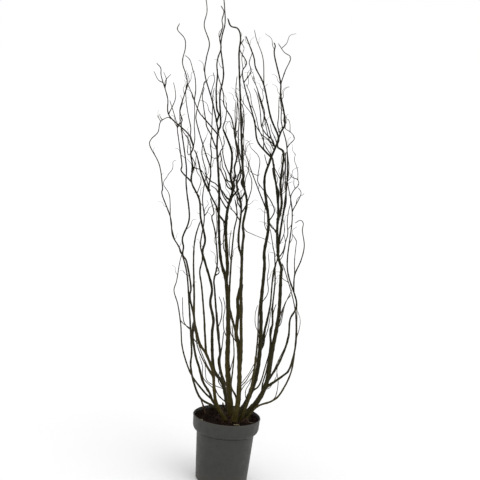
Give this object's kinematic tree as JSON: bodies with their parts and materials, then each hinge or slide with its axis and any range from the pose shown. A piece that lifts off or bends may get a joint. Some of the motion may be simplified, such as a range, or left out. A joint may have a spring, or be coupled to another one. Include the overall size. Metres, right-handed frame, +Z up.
{
  "type": "potted curly willow",
  "caption": "Leafless curly willow in winter: winding, forking stems rising from an old crown in a round nursery pot filled with compost.",
  "frame": {"origin": "centre of the pot's flat underside, on the pot's axis", "axes": "+Z up along the pot's axis; +Y away from the front; +X to the right seen from the front, so the plant leans towards -X"},
  "size_m": [0.5183, 0.4612, 1.5143],
  "materials": {
    "pot_plastic": "moulded recycled polypropylene, dark grey, dull",
    "compost": "damp peaty potting compost with bits of bark",
    "old_wood": "rough old bark of the crown",
    "bark_olive": "smooth olive-green willow bark with pale lenticels",
    "bark_brown": "smooth dark brown willow bark",
    "dead_wood": "dry, bleached dead wood",
    "bark_chip": "pale dry bark chip"
  },
  "bodies": {
    "root": {"pot": "pot_plastic", "compost": "compost", "crown": "old_wood", "stem_outer_left": "bark_brown", "stem_left_upright": "bark_brown", "stem_left_olive": "bark_olive", "stem_left_thick": "bark_brown", "stem_centre_left": "bark_brown", "stem_centre": "bark_olive", "stem_centre_right": "bark_olive", "stem_right_upright": "bark_brown", "stem_right_green": "bark_olive", "stem_right_thick": "bark_brown", "stem_right_wide": "bark_olive", "stem_right_arch": "bark_brown", "stem_right_inner": "bark_olive", "stub_back": "dead_wood", "stub_left": "dead_wood", "bark_chip_front": "bark_chip", "bark_chip_left": "bark_chip", "bark_chip_right": "bark_chip"}
  },
  "joints": []
}
